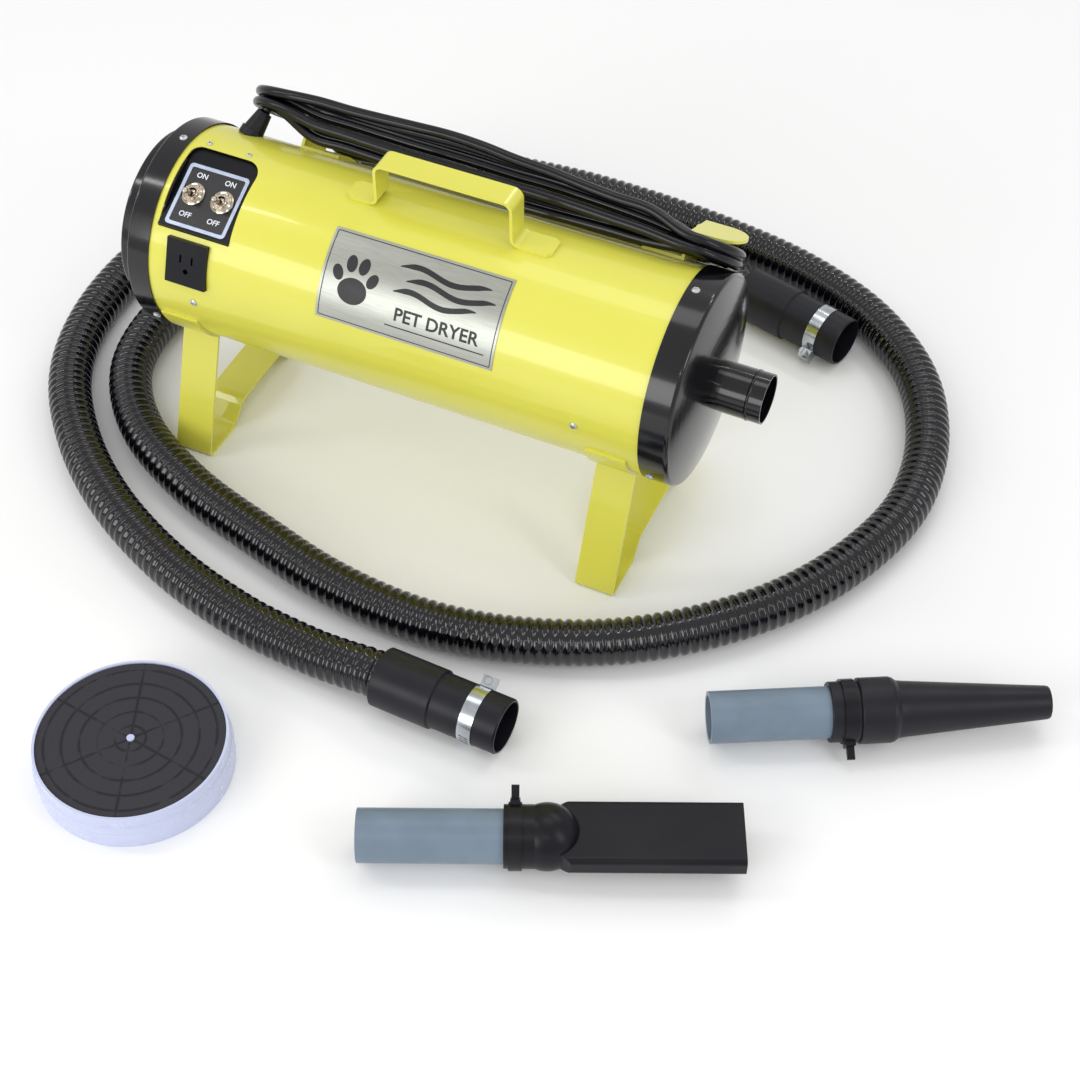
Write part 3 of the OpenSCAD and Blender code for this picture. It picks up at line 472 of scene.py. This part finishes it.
cord_route += [hook(*p) for p in [
    (200, 46.2, 111), (170, 46.5, 112), (150, 49, 110.5), (125, 55, 106.5), (100, 61.5, 101.5),
    (75, 66, 98), (50, 67.5, 97), (28, 67.5, 97),
]]
cord_path, cord_len = curve_points(cord_route, CORD_STEP)
cord_verts, cord_faces = sweep(cord_path, lambda i: CORD_R * MM, CORD_SIDES)
cord = piece("mains_cord", cord_verts, cord_faces, cordage, "dryer")
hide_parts("cord_lead", "cord_hank", "cord_tail")
print("cord length", round(cord_len, 4))


# ---- Flat artwork, laid on a surface --------------------------------------------------

def flat_text(words, size, weight=0.0, squeeze=1.0):
    """The faces of some words, centred, as points in millimetres."""
    curve = bpy.data.curves.new("words", "FONT")
    curve.body = words
    curve.size = size
    curve.offset = weight
    curve.align_x = "CENTER"
    curve.resolution_u = 4
    obj = bpy.data.objects.new("words", curve)
    scene.collection.objects.link(obj)
    bpy.context.view_layer.update()
    mesh = bpy.data.meshes.new_from_object(obj.evaluated_get(bpy.context.evaluated_depsgraph_get()))
    bpy.data.objects.remove(obj)
    bpy.data.curves.remove(curve)
    verts = [(v.co.x * squeeze, v.co.y) for v in mesh.vertices]
    faces = [tuple(p.vertices) for p in mesh.polygons]
    bpy.data.meshes.remove(mesh)
    middle = (min(v[1] for v in verts) + max(v[1] for v in verts)) / 2
    return [(x, y - middle) for x, y in verts], faces


def moved(art, dx, dy):
    return [(x + dx, y + dy) for x, y in art[0]], art[1]


def ellipse(cx, cy, rx, ry, lean=0.0, n=32):
    out = []
    for i in range(n):
        a = 2 * math.pi * i / n
        x, y = rx * math.cos(a), ry * math.sin(a)
        out.append((cx + x * math.cos(lean) - y * math.sin(lean),
                    cy + x * math.sin(lean) + y * math.cos(lean)))
    return out, [tuple(range(n))]


def bar(x0, y0, x1, y1):
    return [(x0, y0), (x1, y0), (x1, y1), (x0, y1)], [(0, 1, 2, 3)]


def rounded(w, h, r, n=6):
    out = []
    for cx, cy, a0 in ((1, 1, 0), (-1, 1, 90), (-1, -1, 180), (1, -1, 270)):
        for i in range(n + 1):
            a = math.radians(a0 + 90 * i / n)
            out.append((cx * (w - r) + r * math.cos(a), cy * (h - r) + r * math.sin(a)))
    return out


def frame_art(w, h, r, thick):
    outer = rounded(w, h, r)
    inner = rounded(w - thick, h - thick, max(r - thick * 0.6, 0.4))
    n = len(outer)
    return outer + inner, [(i, (i + 1) % n, n + (i + 1) % n, n + i) for i in range(n)]


def together(*arts):
    verts, faces = [], []
    for v, f in arts:
        base = len(verts)
        verts += v
        faces += [tuple(i + base for i in face) for face in f]
    return verts, faces


def lay(name, art, place, shader, body, grid=None):
    """Artwork put on a surface: place(x, y) is the point for flat x and y."""
    bm = bmesh.new()
    verts = [bm.verts.new((x, y, 0)) for x, y in art[0]]
    for face in art[1]:
        bm.faces.new([verts[i] for i in face])
    if grid:
        low, high, step = grid
        for k in range(int((high - low) / step) + 1):
            bmesh.ops.bisect_plane(bm, geom=bm.verts[:] + bm.edges[:] + bm.faces[:],
                                   plane_co=(0, low + k * step, 0), plane_no=(0, 1, 0))
    bm.verts.index_update()
    points = [place(v.co.x, v.co.y) for v in bm.verts]
    faces = [[v.index for v in f.verts] for f in bm.faces]
    bm.free()
    return piece(name, points, faces, shader, body, smooth=False)


# ---- Label ----------------------------------------------------------------------------

DRUM_R = 101.6
LABEL_X, LABEL_ANGLE = 18.0, 40.25
LABEL_OUT = 0.8
PRINT_LIFT = 0.07
LABEL_ROWS = (-43, 43, 3)  # lowest, highest, step: cuts that let the print bend


def on_label(x, y):
    r = DRUM_R + LABEL_OUT + PRINT_LIFT
    a = math.radians(LABEL_ANGLE) + y / (DRUM_R + LABEL_OUT)
    return drum(LABEL_X + x, -r * math.cos(a), r * math.sin(a))


paw = together(
    ellipse(-58, -11, 15, 12.5), ellipse(-76, 3, 5.2, 7.6, 0.45), ellipse(-64.5, 14, 5.4, 8.2, 0.12),
    ellipse(-51.5, 14, 5.4, 8.2, -0.12), ellipse(-40, 3, 5.2, 7.6, -0.45),
)
def breeze(x0, x1, y, sway, thick):
    """A wavy stroke, for moving air."""
    steps = 28
    rows = []
    for i in range(steps + 1):
        t = i / steps
        half = thick / 2 * min(1.0, 6 * t + 0.2, 6 * (1 - t) + 0.2)
        mid = y + sway * math.sin(2 * math.pi * t * 1.25)
        rows += [(x0 + (x1 - x0) * t, mid - half), (x0 + (x1 - x0) * t, mid + half)]
    return rows, [(2 * i, 2 * i + 2, 2 * i + 3, 2 * i + 1) for i in range(steps)]


words = together(
    breeze(-18, 74, 25, 3.2, 5.4), breeze(-8, 82, 13, 3.2, 5.4), breeze(-18, 66, 1, 3.2, 5.4),
    moved(flat_text("PET DRYER", 17.5, 0.4, 1.0), 31, -19), bar(-20, -32, 82, -30.8),
)
lay("label_border", frame_art(89.6, 41.8, 1.5, 0.9), on_label,
    print_black, "dryer", LABEL_ROWS)
lay("label_paw", paw, on_label, print_black, "dryer", LABEL_ROWS)
lay("label_words", words, on_label, print_black, "dryer", LABEL_ROWS)


# ---- Switch panel's print -------------------------------------------------------------

PANEL_X, PANEL_TILT, PANEL_OUT = -213.0, math.radians(27), 94.6
FACE_T = 0.6


def on_panel(x, y, z=FACE_T + 0.06):
    out = PANEL_OUT + z
    return drum(PANEL_X + x, y * math.cos(PANEL_TILT) - out * math.sin(PANEL_TILT),
                y * math.sin(PANEL_TILT) + out * math.cos(PANEL_TILT))


lay("panel_frame", moved(frame_art(32.8, 32.8, 4, 3.6), 0, -8), on_panel, border, "dryer")
marks = together(*[
    moved(flat_text(word, 7.6, 0.12), x, y)
    for x in (-15.5, 15.5) for word, y in (("ON", 14.4), ("OFF", -27.4))
])
lay("panel_marks", marks, on_panel, print_white, "dryer")


# ---- Hose clamps' slots and the spout's bead ------------------------------------------

def lying(at, turn, x, y, z):
    a = math.radians(turn)
    return drum(at[0] + z * math.cos(a) - y * math.sin(a), at[1] + z * math.sin(a) + y * math.cos(a),
                FLOOR_Z + at[2] - x)


CLAMP_MID = 100.0
BAND_R = 27.94


# Flat dark quads on each band: painted shade in place of the slots' recesses
def band_slots(name, at, turn, first, last):
    verts, faces = [], []
    count, half_w, half_l, slant = 44, 0.85, 4.3, 0.9
    for k in range(count):
        mid = 2 * math.pi * k / count
        if not first <= math.degrees(mid) <= last:
            continue
        base = len(verts)
        for z in (-half_l, half_l):
            for w in (-half_w, half_w):
                a = mid + (w + slant * z / half_l) / BAND_R
                verts.append(lying(at, turn, BAND_R * math.cos(a), BAND_R * math.sin(a), CLAMP_MID + z))
        faces.append((base, base + 1, base + 3, base + 2))
    return piece(name, verts, faces, slot_painted_shade, "dryer", smooth=False)


slots_a = band_slots("clamp_a_slots", (214, 338, 29.2), -15, 40, 150)
slots_b = band_slots("clamp_b_slots", (96, -313, 29.2), -2, 262, 350)


def ring(name, x, radius, tube_r, shader, slot, body):
    verts, faces = [], []
    around, across = 96, 12
    for i in range(around):
        a = 2 * math.pi * i / around
        for k in range(across):
            b = 2 * math.pi * k / across
            r = radius + tube_r * math.cos(b)
            verts.append(drum(x + tube_r * math.sin(b), r * math.cos(a), r * math.sin(a)))
    for i in range(around):
        for k in range(across):
            i2, k2 = (i + 1) % around, (k + 1) % across
            faces.append((i * across + k, i2 * across + k, i2 * across + k2, i * across + k2))
    return piece(name, verts, faces, shader, body)


ring("spout_bead", 331, 22.9, 2.0, enamel, "black_enamel", "dryer")


# ---- Stage and light ------------------------------------------------------------------

ground = bpy.data.meshes.new("ground")
half = 9.0  # metres, well past the view
ground.from_pydata([(-half, -half, FLOOR_Z * MM), (half, -half, FLOOR_Z * MM), (half, half, FLOOR_Z * MM),
                    (-half, half, FLOOR_Z * MM)], [], [(0, 1, 2, 3)])
ground_shader = Shader("ground", "#f8f8f8", 0.7)
ground.materials.append(ground_shader.mat)
floor = bpy.data.objects.new("ground", ground)
scene.collection.objects.link(floor)

world = bpy.data.worlds.new("world")
world.use_nodes = True
world.node_tree.nodes["Background"].inputs["Color"].default_value = (1, 1, 1, 1)
world.node_tree.nodes["Background"].inputs["Strength"].default_value = 0.7
scene.world = world


def soft_light(name, at, towards, size, power):
    data = bpy.data.lights.new(name, "AREA")
    data.shape = "RECTANGLE"
    data.size, data.size_y = size
    data.energy = power
    light = bpy.data.objects.new(name, data)
    light.location = at
    light.rotation_euler = (Vector(towards) - Vector(at)).to_track_quat("-Z", "Y").to_euler()
    scene.collection.objects.link(light)


soft_light("top_light", (-0.4, 0.5, 2.4), (-0.35, 0, -0.1), (1.4, 0.8), 7)
soft_light("front_light", (-1.2, -2.6, 1.0), (-0.35, 0, -0.1), (1.6, 1.2), 24)
soft_light("right_light", (1.9, -0.6, 1.3), (-0.2, 0, -0.1), (0.5, 1.4), 9)
soft_light("left_strip", (-1.9, -0.7, 1.5), (-0.35, 0, -0.1), (0.12, 1.5), 6)
soft_light("rear_strip", (0.2, 1.7, 1.9), (-0.3, 0, -0.1), (1.6, 0.12), 7)
soft_light("near_strip", (0.3, -1.9, 1.9), (-0.3, 0, -0.15), (1.4, 0.1), 3.5)
